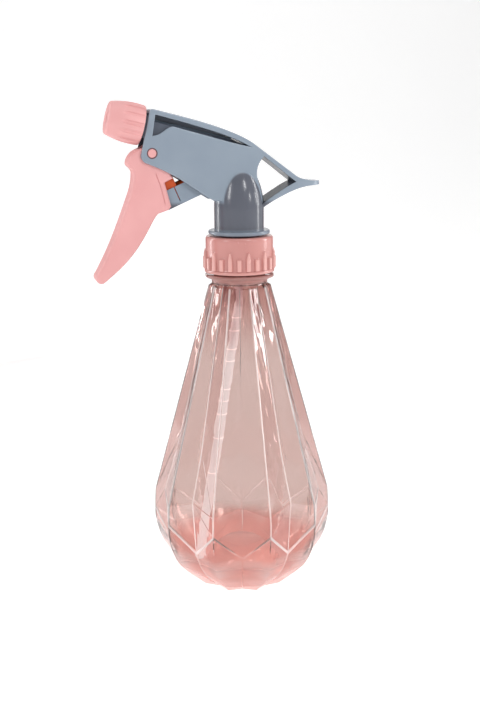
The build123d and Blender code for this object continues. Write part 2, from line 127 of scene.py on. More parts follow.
def quarter_round(radius, z, size, steps):
    """(radius, z) points of an outer edge rounded by size, from its side to its top at z + size."""
    angles = [math.pi / 2 * k / steps for k in range(1, steps + 1)]
    return [(radius - size + size * math.cos(a), z + size * math.sin(a)) for a in angles]


def piece(name, points, faces, material, body, replaces=(), smooth=30):
    """A mesh piece from points in millimetres, smooth-shaded across edges flatter than smooth degrees."""
    mesh = bpy.data.meshes.new(name)
    mesh.from_pydata([Vector(p) * MM for p in points], [], faces)
    mesh.validate()
    mesh.shade_smooth()
    mesh.set_sharp_from_angle(angle=math.radians(smooth))
    mesh.materials.append(material)
    obj = bpy.data.objects.new(name, mesh)
    bpy.context.scene.collection.objects.link(obj)
    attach(obj, body)
    if replaces:
        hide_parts(*replaces)
    return obj


def grid_faces(rows, columns, closed_rows=False, closed_columns=True):
    """Quads of a grid whose points are listed row by row."""
    faces = []
    for i in range(rows if closed_rows else rows - 1):
        for j in range(columns if closed_columns else columns - 1):
            k = (i + 1) % rows
            m = (j + 1) % columns
            faces.append((i * columns + j, i * columns + m, k * columns + m, k * columns + j))
    return faces


def turned(name, profile, segments, material, body, place=Matrix.Identity(4), relief=None, **more):
    """A turned shape with a closed (radius, z) profile. relief(degrees, z, radius) may raise a point."""
    points = []
    for radius, z in profile:
        for j in range(segments):
            a = 360 * j / segments
            r = radius + (relief(a, z, radius) if relief else 0)
            points.append(place @ polar(r, a, z))
    faces = grid_faces(len(profile), segments, closed_rows=True)
    return piece(name, points, faces, material, body, **more)


# ---------------------------------------------------------------- materials
class Graph:
    """A material's node tree, with short calls for the nodes used here."""

    def __init__(self, name):
        self.material = bpy.data.materials.new(name)
        self.material.use_nodes = True
        self.tree = self.material.node_tree
        self.shader = self.tree.nodes["Principled BSDF"]
        coordinates = self.tree.nodes.new("ShaderNodeTexCoord").outputs
        self.position = coordinates["Object"]
        self.normal = coordinates["Normal"]

    def node(self, kind, inputs=(), **settings):
        made = self.tree.nodes.new("ShaderNode" + kind)
        for key, value in settings.items():
            setattr(made, key, value)
        for key, value in dict(inputs).items():
            self.feed(made.inputs[key], value)
        return made

    def feed(self, socket, value):
        if isinstance(value, bpy.types.NodeSocket):
            self.tree.links.new(value, socket)
        else:
            socket.default_value = value

    def set(self, **values):
        for key, value in values.items():
            self.feed(self.shader.inputs[key.replace("_", " ")], value)

    def math(self, operation, *values):
        return self.node("Math", enumerate(values), operation=operation).outputs["Value"]

    def all_of(self, *masks):
        """1 where every mask is 1, else 0: their product."""
        product = masks[0]
        for mask in masks[1:]:
            product = self.math("MULTIPLY", product, mask)
        return product

    def axes(self, vector):
        return self.node("SeparateXYZ", {"Vector": vector}).outputs

    def times(self, factors):
        """The position with each axis scaled."""
        inputs = {0: self.position, 1: factors}
        return self.node("VectorMath", inputs, operation="MULTIPLY").outputs["Vector"]

    def radius(self):
        """Distance from the upright axis."""
        return self.node("VectorMath", {0: self.times((1.0, 1.0, 0.0))}, operation="LENGTH").outputs["Value"]

    def noise(self, scale, detail=3.0):
        inputs = {"Vector": self.position, "Scale": scale, "Detail": detail}
        return self.node("TexNoise", inputs).outputs["Fac"]

    def range(self, value, low, high, from_low=0.3, from_high=0.7):
        """Carries from_low..from_high, where most of a noise lies, to low..high, and holds it there."""
        inputs = {"Value": value, "From Min": from_low, "From Max": from_high, "To Min": low, "To Max": high}
        return self.node("MapRange", inputs).outputs["Result"]

    def rise(self, value, start, end):
        """0 below start, 1 above end."""
        return self.range(value, 0.0, 1.0, start, end)

    def fall(self, value, start, end):
        """1 below start, 0 above end."""
        return self.range(value, 1.0, 0.0, start, end)

    def cloud(self, scale=60.0, detail=3.0):
        """Patches of 0 and 1 with soft edges."""
        return self.range(self.noise(scale, detail), 0.0, 1.0)

    def mix(self, factor, first, second):
        made = self.node("Mix", data_type="RGBA")
        self.feed(made.inputs["Factor"], factor)
        self.feed(made.inputs["A"], first)
        self.feed(made.inputs["B"], second)
        return made.outputs["Result"]

    def bump(self, height, strength, distance):
        inputs = {"Height": height, "Strength": strength, "Distance": distance}
        self.set(Normal=self.node("Bump", inputs).outputs["Normal"])

    def grain(self, strength):
        """The fine surface of a mould."""
        self.bump(self.noise(2600.0, 4.0), strength, 0.0001)


def linear(red, green, blue):
    """A display colour from 0 to 255 as a linear one."""
    def one(v):
        v /= 255
        return v / 12.92 if v <= 0.04045 else ((v + 0.055) / 1.055) ** 2.4
    return (one(red), one(green), one(blue), 1.0)


def moulded(name, colour, shade, roughness, grain):
    """Injection-moulded plastic: slight cloudiness of colour, fine surface grain and uneven gloss."""
    g = Graph(name)
    g.set(Base_Color=g.mix(g.cloud(detail=2.0), colour, shade))
    g.set(Roughness=g.range(g.noise(240.0), roughness - 0.04, roughness + 0.05), Specular_IOR_Level=0.5)
    g.grain(grain)
    return g.material


# Where a look changes. Each pair is where the change starts and ends, in metres unless it's of a normal.
RIB_HIGHLIGHT_RISE = (0.0170, 0.0177)            # radius: from the collar's wall to the tops of its ribs, which carry a painted highlight

PLATE_OUTSIDE = (0.0071, 0.0078)       # |y|: the neck's bulge stands out of the side plates
PLATE_INSIDE = (0.0062, 0.0066)        # |y|: between the side plates
NECK_TOP = (0.1945, 0.1965)            # height: the neck runs into the plates
FLANGE_TOP = (0.1816, 0.1830)          # height: the flange ends and the neck starts
PUMP_TOP = (0.2180, 0.2195)            # height: the pump's trough ends
LOOP_FRONT = (0.0062, 0.0068)          # x: the back of the neck
LOOP_FOOT = (0.1915, 0.1940)           # height: the loop starts
STRUT_SLOPE = 0.75                     # fall of the tail's upper strut
STRUT_UNDER = (0.2259, 0.2265)         # height of that strut's underside at x = 0
ALONG_MOULD = (0.35, 0.60)             # |normal y|: from faces that run through the head to the others
PLATE_FACING = (0.50, 0.70)            # |normal y|: from the others to faces parallel to the side plates
PIN_SHADE_RING = (0.00235, 0.00265)           # distance from the pin's axis: the ring of painted shade round the pin

BASE_TOP = (0.018, 0.023)              # height: the base's colour ends
BASE_RIM = (0.0350, 0.0425)            # radius: and the thick base itself
BASE_CLOUD = (0.014, 0.025)            # height: its cloudiness ends
DOME_RIM = (0.0190, 0.0205)            # radius: the dome in the base ends
SHOULDER_RISE = (0.120, 0.156)         # height: the wall grows thicker
NECK_FOOT = (0.1560, 0.1575)           # height: the neck starts
STREAK_RISE = (0.105, 0.150)           # height: the flow streaks grow strong
DARK_REFLECTION_EDGE = (0.52, 0.62)             # noise: the edge of a painted dark reflection streak
SIDE_TURN = (0.55, 0.85)               # |normal| towards the side: the wall grows denser
EDGE_HIGHLIGHT_TURN = (0.17, 0.30)              # |normal| towards the side: the edges turn pale, a painted highlight
CLOUDY_CLEARNESS = 0.38                # transmission of the cloudy base and neck
EDGE_HIGHLIGHT_CLEARNESS = 0.60               # and of the edges with the painted highlight

# Colour of the bottle's plastic, which is seen through two walls
WALL_TINT = (0.735, 0.626, 0.598, 1)
SIDE_TINT = (0.700, 0.530, 0.500, 1)
SHOULDER_TINT = (0.630, 0.415, 0.385, 1)
# painted reflection: the dark streaks at the shoulder
DARK_REFLECTION_TINT = (0.400, 0.200, 0.190, 1)
NECK_TINT = (0.480, 0.240, 0.215, 1)
BASE_TINT = (0.680, 0.355, 0.310, 1)
DOME_TINT = (0.760, 0.430, 0.380, 1)
EDGE_TINT = (0.720, 0.610, 0.585, 1)
# painted highlight on the edges that face the grip's two sides
EDGE_HIGHLIGHT_PALE = (0.97, 0.91, 0.90, 1)
EDGE_HIGHLIGHT_PINK = (0.93, 0.84, 0.82, 1)
SHADOW_TINT = (0.97, 0.95, 0.95, 1)
TOWARDS_SIDE = (0.97, -0.26, 0.0)      # the direction the bottle's two sides face


def collar_plastic():
    """Glossy pink, deeper on the wall; the grip ribs that stand out of it are painted paler, a painted
    highlight.
    """
    g = Graph("pink_gloss")
    wall = g.mix(g.cloud(), linear(199, 138, 132), linear(194, 132, 126))
    # painted highlight: the rib tops get a paler pink
    colour = g.mix(g.rise(g.radius(), *RIB_HIGHLIGHT_RISE), wall, linear(219, 163, 156))
    g.set(Base_Color=colour, Roughness=g.range(g.noise(240.0), 0.20, 0.28))
    g.set(Specular_IOR_Level=0.5, Coat_Weight=0.25, Coat_Roughness=0.08)
    g.grain(0.03)
    return g.material


def loop_painted_shade(g, axes):
    """1 on the faces inside the tail's loop and under the tail, where shade is painted and the gloss is cut,
    else 0.
    """
    facing = g.math("ABSOLUTE", g.axes(g.normal)["Y"])
    slope = g.math("MULTIPLY_ADD", axes["X"], STRUT_SLOPE, axes["Z"])
    return g.all_of(g.fall(facing, *ALONG_MOULD), g.rise(axes["X"], *LOOP_FRONT), g.fall(slope, *STRUT_UNDER),
                  g.rise(axes["Z"], *LOOP_FOOT))


def between_plates_painted_shade(g, axes):
    """1 on the faces between the two side plates, above the pump, where shade is painted, else 0."""
    facing = g.math("ABSOLUTE", g.axes(g.normal)["Y"])
    aside = g.math("ABSOLUTE", axes["Y"])
    return g.all_of(g.rise(facing, *PLATE_FACING), g.fall(aside, *PLATE_INSIDE), g.rise(axes["Z"], *PUMP_TOP))


def pin_ring_painted_shade(g, axes):
    """1 in a narrow ring round the trigger's pin, where shade is painted, else 0."""
    low, high = span("trigger_pin")
    pin = (low + high) / 2 * MM
    flat = g.node("CombineXYZ", {"X": axes["X"], "Z": axes["Z"]}).outputs["Vector"]
    away = g.node("VectorMath", {0: flat, 1: (pin.x, 0.0, pin.z)}, operation="DISTANCE").outputs["Value"]
    return g.fall(away, *PIN_SHADE_RING)


def neck_painted_shade(g, axes):
    """1 on the thick neck, about a third on its flange, and 0 on the thin side plates: where the neck's
    painted shade goes.
    """
    bulge = g.rise(g.math("ABSOLUTE", axes["Y"]), *PLATE_OUTSIDE)
    neck = g.math("MAXIMUM", bulge, g.fall(axes["Z"], *NECK_TOP))
    return g.all_of(neck, g.range(axes["Z"], 0.35, 1.0, *FLANGE_TOP))


def head_plastic():
    """Grey-blue gloss plastic, with painted shade: darker on the neck, in the tail's loop, between the side
    plates and round the trigger's pin.
    """
    g = Graph("grey_blue_gloss")
    axes = g.axes(g.position)
    loop_shade = loop_painted_shade(g, axes)
    colour = g.mix(g.cloud(detail=2.0), linear(140, 152, 165), linear(134, 146, 160))
    # painted shade: the neck and part of its flange are darkened
    colour = g.mix(neck_painted_shade(g, axes), colour, linear(90, 93, 103))
    # painted shade inside the tail's loop and under the tail
    colour = g.mix(loop_shade, colour, linear(70, 75, 84))
    # painted shade between the two side plates
    colour = g.mix(between_plates_painted_shade(g, axes), colour, linear(84, 90, 102))
    # painted shade: a dark ring round the trigger's pin
    colour = g.mix(pin_ring_painted_shade(g, axes), colour, linear(96, 62, 64))
    g.set(Base_Color=colour, Roughness=g.range(g.noise(240.0), 0.16, 0.25))
    g.set(Specular_IOR_Level=g.range(loop_shade, 0.5, 0.05, 0.0, 1.0))
    g.grain(0.03)
    return g.material


def steel():
    """Drawn and ground steel, for the springs and the ball."""
    g = Graph("spring_steel")
    g.set(Base_Color=g.mix(g.noise(400.0), (0.55, 0.55, 0.57, 1), (0.62, 0.62, 0.64, 1)))
    g.set(Metallic=1.0, Roughness=g.range(g.noise(900.0), 0.22, 0.34))
    return g.material


def ring_highlight_glow():
    """Near-white raised rings round the dip tube that glow: painted highlights."""
    g = Graph("ring_highlight_glow")
    g.set(Base_Color=g.mix(g.noise(200.0), (0.97, 0.97, 0.97, 1), (1.0, 1.0, 1.0, 1)), Roughness=0.1)
    # painted light: the rings glow though no lamp lights them
    g.set(Emission_Color=(1.0, 1.0, 1.0, 1), Emission_Strength=0.45)
    return g.material


def let_lamps_through(g):
    """Makes a clear plastic cast only a light, tinted shadow."""
    shadow = g.node("LightPath").outputs["Is Shadow Ray"]
    through = g.node("BsdfTransparent", {"Color": SHADOW_TINT})
    mix = g.node("MixShader", {0: shadow, 1: g.shader.outputs["BSDF"], 2: through.outputs["BSDF"]})
    g.tree.links.new(mix.outputs["Shader"], g.tree.nodes["Material Output"].inputs["Surface"])


def sideways(g, start, end):
    """0 on walls that face the grip's front or back, rising to 1 on those that face its two sides."""
    inputs = {0: g.normal, 1: TOWARDS_SIDE}
    facing = g.node("VectorMath", inputs, operation="DOT_PRODUCT").outputs["Value"]
    return g.rise(g.math("ABSOLUTE", facing), start, end)


def upright_waves(g, scale):
    """Noise drawn out along the bottle's axis."""
    inputs = {"Vector": g.times((1.0, 1.0, 0.12)), "Scale": scale, "Detail": 2.0}
    return g.node("TexNoise", inputs).outputs["Fac"]


def wall_tint(g):
    """Denser towards the sides, the shoulder and the neck, and densest in the thick base round its dome; dark
    streaks of painted reflection run up the shoulder.
    """
    height = g.axes(g.position)["Z"]
    shoulder = g.rise(height, *SHOULDER_RISE)
    dark_reflection = g.all_of(shoulder, g.range(upright_waves(g, 260.0), 0.0, 0.9, *DARK_REFLECTION_EDGE))
    tint = g.mix(sideways(g, *SIDE_TURN), WALL_TINT, SIDE_TINT)
    tint = g.mix(shoulder, tint, SHOULDER_TINT)
    # painted reflection: dark streaks up the shoulder
    tint = g.mix(dark_reflection, tint, DARK_REFLECTION_TINT)
    tint = g.mix(g.rise(height, *NECK_FOOT), tint, NECK_TINT)
    thick = g.mix(g.fall(g.radius(), *DOME_RIM), BASE_TINT, DOME_TINT)
    return g.mix(g.all_of(g.fall(height, *BASE_TOP), g.fall(g.radius(), *BASE_RIM)), tint, thick)


def wall_clearness(g):
    """1 on the clear wall, less in the cloudy base and neck."""
    height = g.axes(g.position)["Z"]
    cloudy = g.math("MAXIMUM", g.fall(height, *BASE_CLOUD), g.rise(height, *NECK_FOOT))
    return g.range(cloudy, 1.0, CLOUDY_CLEARNESS, 0.0, 1.0)


def clear_plastic():
    """Tinted transparent bottle plastic, with the waves that blowing left in it, strong at the shoulder."""
    g = Graph("tinted_clear_plastic")
    g.set(Base_Color=wall_tint(g), Transmission_Weight=wall_clearness(g))
    g.set(Roughness=g.range(g.noise(140.0), 0.01, 0.04), IOR=1.5)
    g.bump(upright_waves(g, 110.0), g.range(g.axes(g.position)["Z"], 0.08, 0.5, *STREAK_RISE), 0.004)
    let_lamps_through(g)
    return g.material


def clear_edge_painted_highlight():
    """The same plastic along the pleats' edges, painted paler as a highlight on those towards the grip's two
    sides.
    """
    g = Graph("tinted_clear_edge_painted_highlight")
    highlit = sideways(g, *EDGE_HIGHLIGHT_TURN)
    g.set(Base_Color=g.mix(highlit, EDGE_TINT, g.mix(g.cloud(), EDGE_HIGHLIGHT_PALE, EDGE_HIGHLIGHT_PINK)))
    g.set(Transmission_Weight=g.range(highlit, 1.0, EDGE_HIGHLIGHT_CLEARNESS, 0.0, 1.0))
    g.set(Roughness=g.range(g.noise(120.0), 0.10, 0.20), IOR=1.5)
    let_lamps_through(g)
    return g.material


def tube_plastic():
    """Milky tube, with a weak glow: painted light that brightens it inside the bottle."""
    g = Graph("milky_tube")
    g.set(Base_Color=g.mix(g.noise(90.0), (0.78, 0.80, 0.82, 1), (0.74, 0.76, 0.78, 1)))
    g.set(Roughness=0.25, Transmission_Weight=0.12)
    # painted light: a glow that stands in for the light the bottle's walls keep from the tube
    g.set(Emission_Color=(0.92, 0.98, 1.0, 1), Emission_Strength=0.28)
    g.bump(g.noise(500.0), 0.05, 0.0002)
    return g.material


PINK = moulded("pink_satin", linear(228, 167, 166), linear(222, 159, 158), 0.42, 0.10)
ORANGE = moulded("orange_piston", linear(205, 80, 14), linear(192, 72, 12), 0.40, 0.05)
NATURAL = moulded("natural_polyethylene", linear(226, 224, 218), linear(216, 214, 208), 0.40, 0.06)
SEAL = moulded("soft_seal", linear(60, 60, 62), linear(50, 50, 52), 0.55, 0.12)
PINK_GLOSS = collar_plastic()
GREY = head_plastic()
STEEL = steel()
RING_HIGHLIGHT = ring_highlight_glow()
CLEAR = clear_plastic()
CLEAR_EDGE_HIGHLIT = clear_edge_painted_highlight()
TUBE = tube_plastic()

CAD_LOOKS = {
    GREY: ("head_housing", "spray_barrel", "pump_cylinder", "valve_body"),
    PINK: ("trigger", "trigger_pin"),
    ORANGE: ("piston",),
    NATURAL: ("neck_gasket", "inlet_valve_seat", "dip_tube_adapter", "outlet_valve", "nozzle_insert"),
    SEAL: ("vent_valve", "nozzle_o_ring", "piston_cup_seal"),
    STEEL: ("inlet_ball",),
}


def cad_materials():
    """Gives the nodes that keep their CAD mesh their materials."""
    for material, nodes in CAD_LOOKS.items():
        for node in nodes:
            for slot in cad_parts[node].material_slots:
                slot.material = material


# ---------------------------------------------------------------- bottle
def plane_radius(a, b, c, degrees, z):
    """Radius at which the plane through a, b and c meets this angle and height."""
    normal = (b - a).cross(c - a)
    return (normal.dot(a) - normal.z * z) / normal.dot(polar(1, degrees, 0))


class BottleCage:
    """Points and faces of the pleated body, open at the top. Points are named, so that faces share them."""

    def __init__(self):
        self.points = []
        self.faces = []
        self.names = {}
        low_steps, high_steps = 8, 3
        self.ridge_z = lerp_list(0, ARM_TOP, low_steps)
        self.valley_z = lerp_list(0, VALLEY[-1][1], low_steps)
        self.belly_z = lerp_list(ARM_TOP, BELLY_Z, high_steps)
        for k in range(SIDES):
            self.pleat(k)
        self.rings([self.foot] + [self.ring("dome", *level) for level in dome_levels()], outward=-1)
        last = self.ring("dome", *dome_levels()[-1])
        self.faces.append(tuple(last(k) for k in reversed(range(2 * SIDES))))
        to_neck = [self.ring("top", NECK_R, SHOULDER[1] + rise) for rise in (0.9, 1.6)]
        self.rings([self.brim] + to_neck, outward=1)

    def at(self, key, place):
        """Index of the point with this name, which is added at place the first time."""
        if key not in self.names:
            self.names[key] = len(self.points)
            self.points.append(place)
        return self.names[key]

    def ridge(self, k, z):
        radius = SHOULDER[0] if z == SHOULDER[1] else hermite(RIDGE, z)
        return self.at(("ridge", k % SIDES, z), polar(radius, RIDGE_TURN + 2 * HALF_PLEAT * k, z))

    def valley(self, k, z):
        angle = RIDGE_TURN + 2 * HALF_PLEAT * (k + 0.5)
        return self.at(("valley", k % SIDES, z), polar(hermite(VALLEY, z), angle, z))

    def pleat(self, k):
        """The groove and the panels on both sides of valley k."""
        angle = RIDGE_TURN + 2 * HALF_PLEAT * (k + 0.5)
        notch = self.at(("notch", k), polar(NOTCH_R, angle, SHOULDER[1]))
        corners = [self.points[i] for i in (self.ridge(k, BELLY_Z), self.ridge(k, SHOULDER[1]), notch)]
        crest = self.at(("crest", k), polar(plane_radius(*corners, angle, CREST_Z), angle, CREST_Z))
        groove = self.at(("groove", k), polar(GROOVE[0], angle, GROOVE[1]))
        tip = self.valley(k, self.valley_z[-1])
        for side, near in ((1, k), (-1, k + 1)):
            shoulder, belly = self.ridge(near, SHOULDER[1]), self.ridge(near, BELLY_Z)
            half = [(shoulder, belly, crest, notch), (belly, groove, crest),
                    (self.ridge(near, ARM_TOP), tip, groove)]
            for low, high in zip(self.belly_z, self.belly_z[1:]):
                half.append((self.ridge(near, low), groove, self.ridge(near, high)))
            for i in range(len(self.ridge_z) - 1):
                outer = [self.ridge(near, z) for z in self.ridge_z[i:i + 2]]
                inner = [self.valley(k, z) for z in self.valley_z[i:i + 2]]
                half.append((outer[0], *inner, outer[1]))
            self.faces += [f[::side] for f in half]

    def ring(self, name, radius, z):
        """A plain ring, as a function of k, which counts half pleats from the first ridge."""
        def place(k):
            return self.at((name, z, k % (2 * SIDES)), polar(radius, RIDGE_TURN + HALF_PLEAT * k, z))
        return place

    def foot(self, k):
        return self.ridge(k // 2, 0.0) if k % 2 == 0 else self.valley(k // 2, 0.0)

    def brim(self, k):
        return self.ridge(k // 2, SHOULDER[1]) if k % 2 == 0 else self.names[("notch", (k // 2) % SIDES)]

    def rings(self, levels, outward):
        """Bands of faces between rings; outward is 1 when the rings are listed upward on an outer wall."""
        for lower, upper in zip(levels, levels[1:]):
            for k in range(2 * SIDES):
                self.faces.append((lower(k), lower(k + 1), upper(k + 1), upper(k))[::outward])


def dome_levels():
    """(radius, z) of each ring of the dome in the base, from its rim up."""
    angles = [math.radians(a) for a in PUNT_DEGREES]
    return [(PUNT_R * math.cos(a) ** PUNT_SQUARENESS, PUNT_TOP * math.sin(a)) for a in angles]


def half_pleats(point):
    """A point's angle round the bottle, counted in half pleats from the first ridge."""
    return (math.degrees(math.atan2(point.y, point.x)) - RIDGE_TURN) / HALF_PLEAT


def mark_edges(mesh):
    """Full bevels on straight ridges and a groove's arms, slight ones on valleys; other facets stay sharp."""
    near = 0.1
    bm = bmesh.new()
    bm.from_mesh(mesh)
    weight = bm.edges.layers.float.new("bevel_weight_edge")
    for edge in bm.edges:
        low, high = sorted((v.co / MM for v in edge.verts), key=lambda p: p.z)
        on_dome = low.xy.length < PUNT_R + 1 and low.z < PUNT_TOP + 1
        if len(edge.link_faces) < 2 or on_dome:
            continue
        upright = abs(half_pleats(low) - half_pleats(high)) < 0.01
        on_ridge = round(half_pleats(low)) % 2 == 0
        below_shoulder = low.z < SHOULDER[1] - 1
        arm = abs(high.z - ARM_TOP) < near and abs(low.z - VALLEY[-1][1]) < near and not upright
        if arm or upright and on_ridge and below_shoulder and low.z > ARM_TOP - near:
            edge[weight] = 1.0
        elif upright and not on_ridge and below_shoulder:
            edge[weight] = VALLEY_WEIGHT
        elif low.z > VALLEY[-1][1] - near and math.degrees(edge.calc_face_angle(0)) > FACET_DEGREES:
            edge.smooth = False
    bm.to_mesh(mesh)
    bm.free()


def bottle_body():
    cage = BottleCage()
    obj = piece("bottle_body", cage.points, cage.faces, CLEAR, "bottle", replaces=["bottle"], smooth=180)
    obj.data.materials.append(CLEAR_EDGE_HIGHLIT)
    mark_edges(obj.data)
    bevel = obj.modifiers.new("edges", "BEVEL")
    bevel.width = RIDGE_ROUND * MM
    bevel.segments = 3
    bevel.limit_method = "WEIGHT"
    bevel.harden_normals = True
    # the bevels take the edge plastic, with its painted highlight
    bevel.material = 1
    shell = obj.modifiers.new("wall", "SOLIDIFY")
    shell.thickness = WALL * MM
    shell.offset = -1


def bottle_neck():
    """The neck with its transfer bead, up to the lip and down the bore."""
    base = SHOULDER[1] + 1.7
    bead = [(14.6, 158.5), (16.5, 158.6), (17.0, 159.1), (17.0, 160.0), (16.5, 160.5)]
    lip = [(12.55, 161.2), (12.55, LIP_Z - 0.4), (12.2, LIP_Z), (11.0, LIP_Z), (10.8, LIP_Z - 0.3)]
    profile = [(NECK_R, base), (NECK_R, 158.2), *bead, (12.8, 160.6), *lip, (10.8, 162.0), (12.7, 158.0),
               (NECK_R - WALL, base)]
    obj = turned("bottle_neck", profile, 96, CLEAR, "bottle")


# ---------------------------------------------------------------- dip tube
TUBE_R = 2.4
TUBE_BORE_R = 1.6
TUBE_BEND_Z = 148.0            # middle of the bend, above which the tube hangs straight down
TUBE_BEND_HALF = 14.0
TUBE_SEGMENTS = 32
BEAD_R = 0.26
BEAD_SIDES = 8
BEAD_Z = (138.0, 131.5, 122.0, 116.0, 101.5, 95.5, 88.5, 76.0, 57.5)
TUBE_LOW, TUBE_HIGH = span("dip_tube")


def tube_line(z):
    """x of the tube's centre line: straight down from the head, then leaning towards the front."""
    lean = (TUBE_LOW.x + TUBE_R) / (TUBE_BEND_Z - TUBE_LOW.z)
    below = TUBE_BEND_Z - z
    if below < -TUBE_BEND_HALF:
        return 0.0
    if below > TUBE_BEND_HALF:
        return lean * below
    return lean * (below + TUBE_BEND_HALF) ** 2 / (4 * TUBE_BEND_HALF)


def tube_ring(radius, z):
    """Points round the tube's centre line at a height."""
    ring = [polar(radius, 360 * j / TUBE_SEGMENTS, z) for j in range(TUBE_SEGMENTS)]
    return [(p.x + tube_line(z), p.y, p.z) for p in ring]


def dip_tube():
    levels = lerp_list(TUBE_LOW.z + 0.6, TUBE_HIGH.z, 60)
    points = []
    for z in levels:
        points += tube_ring(TUBE_R, z)
    for z in reversed(levels):
        points += tube_ring(TUBE_BORE_R, z)
    faces = [f[::-1] for f in grid_faces(2 * len(levels), TUBE_SEGMENTS, closed_rows=True)]
    obj = piece("dip_tube_clear", points, faces, TUBE, "head", replaces=["dip_tube"])


def bead_ring(z):
    """Points of a raised ring round the dip tube, which carries a painted highlight."""
    points = []
    for j in range(TUBE_SEGMENTS):
        for k in range(BEAD_SIDES):
            t = 2 * math.pi * k / BEAD_SIDES
            p = polar(TUBE_R + BEAD_R * math.cos(t), 360 * j / TUBE_SEGMENTS, z + BEAD_R * math.sin(t))
            points.append((p.x + tube_line(z), p.y, p.z))
    return points


def tube_beads():
    points, faces = [], []
    for z in BEAD_Z:
        quads = grid_faces(TUBE_SEGMENTS, BEAD_SIDES, closed_rows=True)
        faces += [tuple(i + len(points) for i in q) for q in quads]
        points += bead_ring(z)
    obj = piece("dip_tube_highlight_rings", points, faces, RING_HIGHLIGHT, "head", smooth=180)


# ---------------------------------------------------------------- collar
COLLAR_LOW, COLLAR_HIGH = span("screw_collar")
COLLAR_R = 16.6
COLLAR_RIB_R = COLLAR_HIGH.x
COLLAR_LIP = 0.6               # how far the bottom edge stands out
COLLAR_ROUND = 1.3             # rounding of the top edge
COLLAR_RIBS = 24
LONG_RIB = 9.6
SHORT_RIB = 6.4
RIB_HALF = 1.15
RIB_START = 1.6
RIB_NARROWING = 0.55           # share of its width that a long rib loses towards its top
NARROWS_FROM = 0.55            # share of its length where it starts to


def collar_relief(degrees, z, radius):
    """How far the grip ribs stand out of the collar's wall at an angle and a height."""
    if abs(radius - COLLAR_R) > 0.01:
        return 0.0
    pitch = 360 / COLLAR_RIBS
    k = round(degrees / pitch)
    across = abs(degrees - k * pitch) * math.pi / 180 * COLLAR_R
    length = SHORT_RIB if k % 2 else LONG_RIB
    up = z - COLLAR_LOW.z - RIB_START
    taper = 1.0 if k % 2 else 1 - RIB_NARROWING * smoothstep(NARROWS_FROM * length, length, up)
    width = RIB_HALF * taper
    side = 1 - smoothstep(width - 0.45, width + 0.25, across)
    ends = smoothstep(-0.6, 0.2, up) * (1 - smoothstep(length - 0.7, length, up))
    return (COLLAR_RIB_R - COLLAR_R) * side * ends


def screw_collar():
    low, high = COLLAR_LOW.z, COLLAR_HIGH.z
    lip = COLLAR_R + COLLAR_LIP
    lip_edge = [(14.3, low), (lip - 0.5, low), (lip - 0.12, low + 0.15), (lip, low + 0.5), (lip, low + 1.2),
                (lip - 0.12, low + 1.55), (COLLAR_R + 0.15, low + 1.8)]
    wall = [(COLLAR_R, z) for z in lerp_list(low + 2.0, high - COLLAR_ROUND, 52)]
    shoulder = quarter_round(COLLAR_R, high - COLLAR_ROUND, COLLAR_ROUND, 6)
    inside = [(10.45, high), (10.4, high - 0.2), (10.4, high - 1.7), (14.3, high - 1.7)]
    obj = turned("screw_collar_ribbed", lip_edge + wall + shoulder + inside, COLLAR_RIBS * 16, PINK_GLOSS,
                 "collar", relief=collar_relief, replaces=["screw_collar"], smooth=40)


# ---------------------------------------------------------------- nozzle cap
NOZZLE_TILT = 14.0
NOZZLE_FACE = (-46.6, 231.8)   # (x, z) of the middle of the cap's rear face
CAP_LENGTH = 16.9
CAP_REAR_R = 9.15
CAP_SWELL = 0.1240             # slope of the cap's side at its rear, and how fast it bends inward
CAP_DRAW = 0.0132
CAP_ROUND = 1.5                # rounding of the front edge
CAP_BORE_R = 6.15
CAP_BORE_L = 13.5
CAP_FLUTES = 14
FLUTE_DEPTH = 0.5
FLUTE_FADE = (0.50, 0.68)      # share of the cap's length over which the flutes fade out
ORIFICE_R = 0.45


def axis_matrix(origin, tilt, sign):
    """Local Z runs along an axis in the XZ plane towards sign * X, tilted upward; local Y is up."""
    t = math.radians(tilt)
    along = Vector((sign * math.cos(t), 0, math.sin(t)))
    across = Vector((0, sign, 0))
    up = along.cross(across)
    turn = Matrix((across, up, along)).transposed().to_4x4()
    return Matrix.Translation((origin[0], 0, origin[1])) @ turn


def cap_wall(s):
    """Radius of the cap's barrel-shaped side, s from its rear face."""
    return CAP_REAR_R + CAP_SWELL * s - CAP_DRAW * s * s


def cap_relief(degrees, s, radius):
    """Shallow grip flutes that fade out two thirds of the way to the front."""
    if radius < cap_wall(s) - 0.4:
        return 0.0
    pitch = 360 / CAP_FLUTES
    across = (degrees / pitch + 0.5) % 1 - 0.5
    reach = 1 - smoothstep(FLUTE_FADE[0] * CAP_LENGTH, FLUTE_FADE[1] * CAP_LENGTH, s)
    width = 0.12 + 0.12 * reach
    return -FLUTE_DEPTH * reach * (1 - smoothstep(0.65 * width, width, abs(across)))


